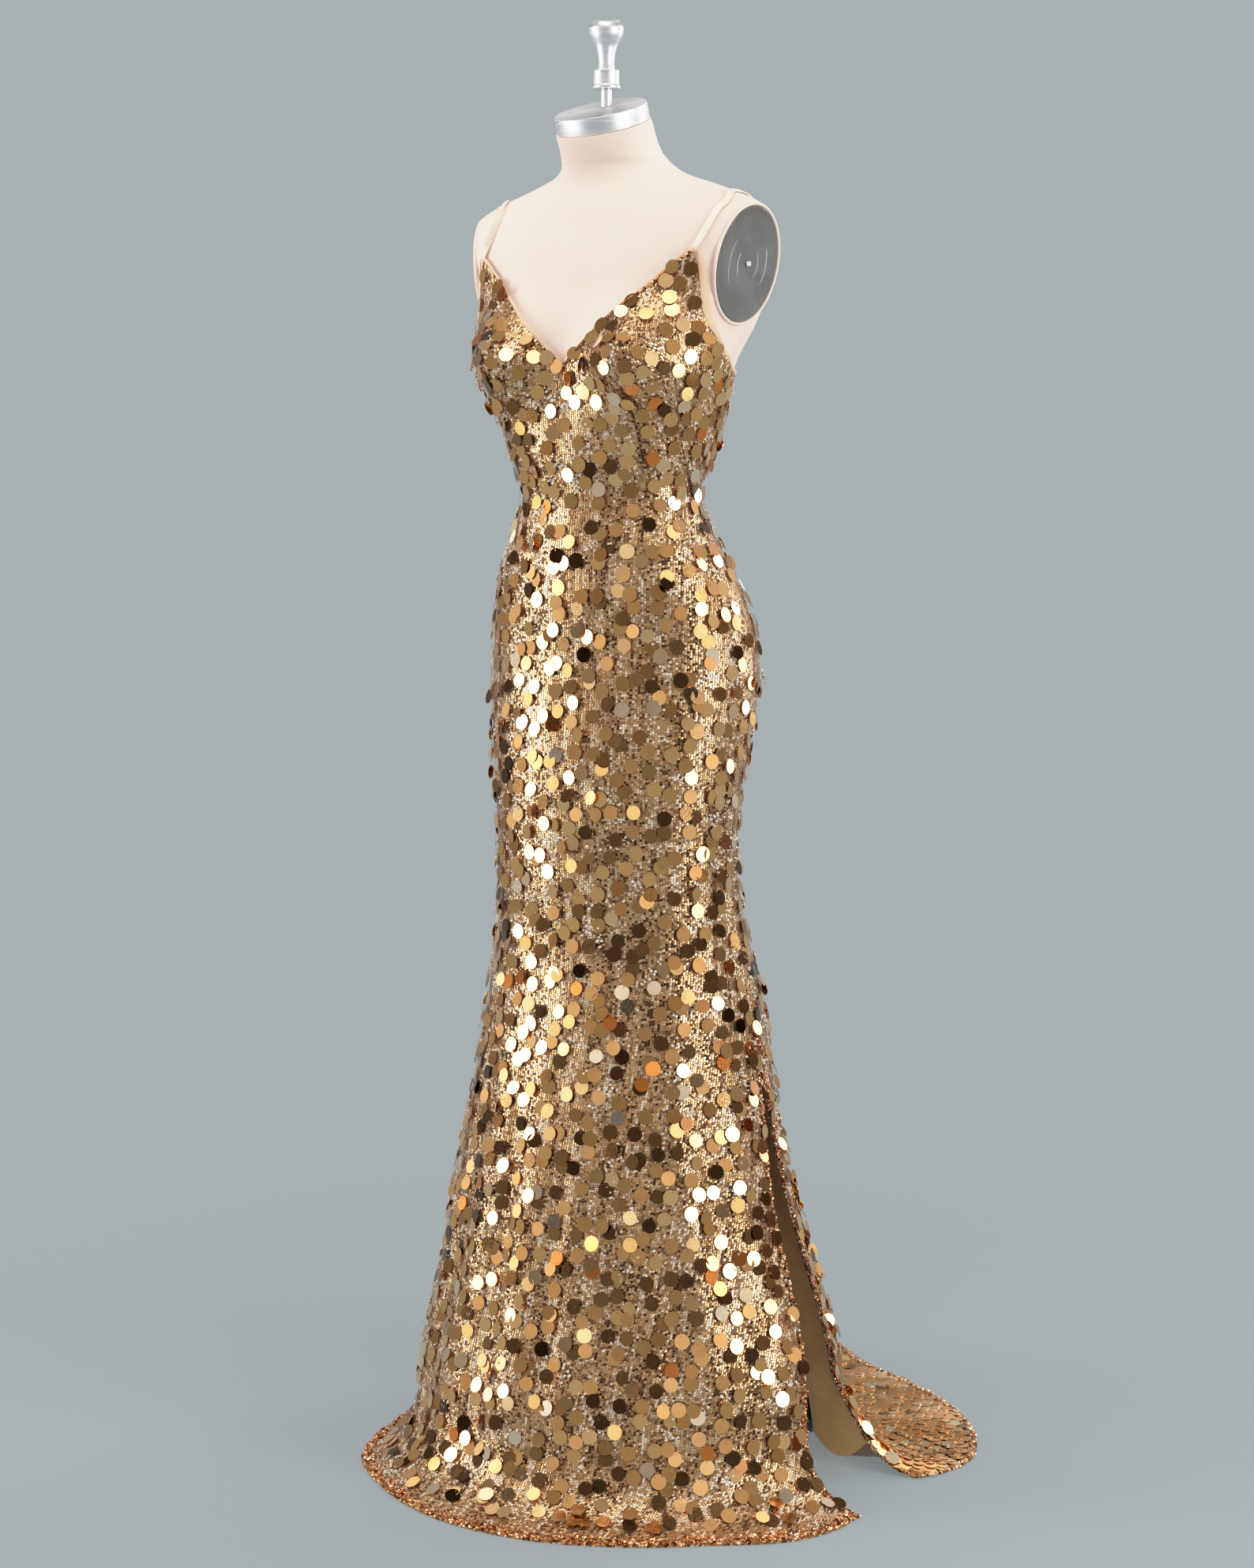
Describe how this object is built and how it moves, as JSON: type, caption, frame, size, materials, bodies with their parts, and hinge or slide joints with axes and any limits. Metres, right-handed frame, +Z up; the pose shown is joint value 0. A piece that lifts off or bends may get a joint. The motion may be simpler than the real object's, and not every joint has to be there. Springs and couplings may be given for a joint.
{
  "type": "evening gown on dress form",
  "caption": "Fitted V-neck evening gown in gold sequins with narrow straps, a side slit and a sweep train, worn by a limbless dress form on a footed stand.",
  "frame": {"origin": "on the floor, on the axis of the stand's pole, under the middle of the hub", "axes": "+Z up; the gown faces -Y; +X is the wearer's left, where the slit is"},
  "size_m": [0.7808, 0.8614, 1.795],
  "materials": {
    "sequins": "gold sequins and round paillettes on net",
    "lining": "tan satin",
    "binding": "peach satin binding",
    "strap": "nude satin",
    "form_cloth": "smooth cream cotton",
    "aluminium": "brushed",
    "smoked_plastic": "polished smoke grey",
    "steel": "satin",
    "enamel": "gloss black",
    "zip_metal": "satin"
  },
  "bodies": {
    "gown_on_form": {"arm_plate_left": "smoked_plastic", "arm_plate_right": "smoked_plastic", "arm_screw_left": "steel", "arm_screw_right": "steel", "base_foot_back_left": "enamel", "base_foot_back_right": "enamel", "base_foot_front_left": "enamel", "base_foot_front_right": "enamel", "base_hub": "enamel", "base_leg_back_left": "enamel", "base_leg_back_right": "enamel", "base_leg_front_left": "enamel", "base_leg_front_right": "enamel", "binding_neck_left": "binding", "binding_neck_right": "binding", "binding_side_left": "binding", "binding_side_right": "binding", "bodice_back_left": "sequins", "bodice_back_right": "sequins", "bodice_front": "sequins", "form_torso": "form_cloth", "lining_back_left": "lining", "neck_cap": "aluminium", "neck_collar": "aluminium", "neck_knob": "aluminium", "neck_post": "aluminium", "pole_clamp": "steel", "pole_lower": "steel", "pole_upper": "steel", "skirt_back_left": "sequins", "skirt_back_right": "sequins", "skirt_front_left": "sequins", "skirt_front_right": "sequins", "strap_left": "strap", "strap_right": "strap", "torso_flange": "steel", "zip_slider": "zip_metal"},
    "pull_tab": {"zip_pull": "zip_metal"}
  },
  "joints": [
    {"name": "pull_tab_hinge", "type": "hinge", "parent": "gown_on_form", "child": "pull_tab", "pos_m": [0, 0.06717, 1.27746], "axis": [1, 0, 0], "range_deg": [0, 150]}
  ]
}
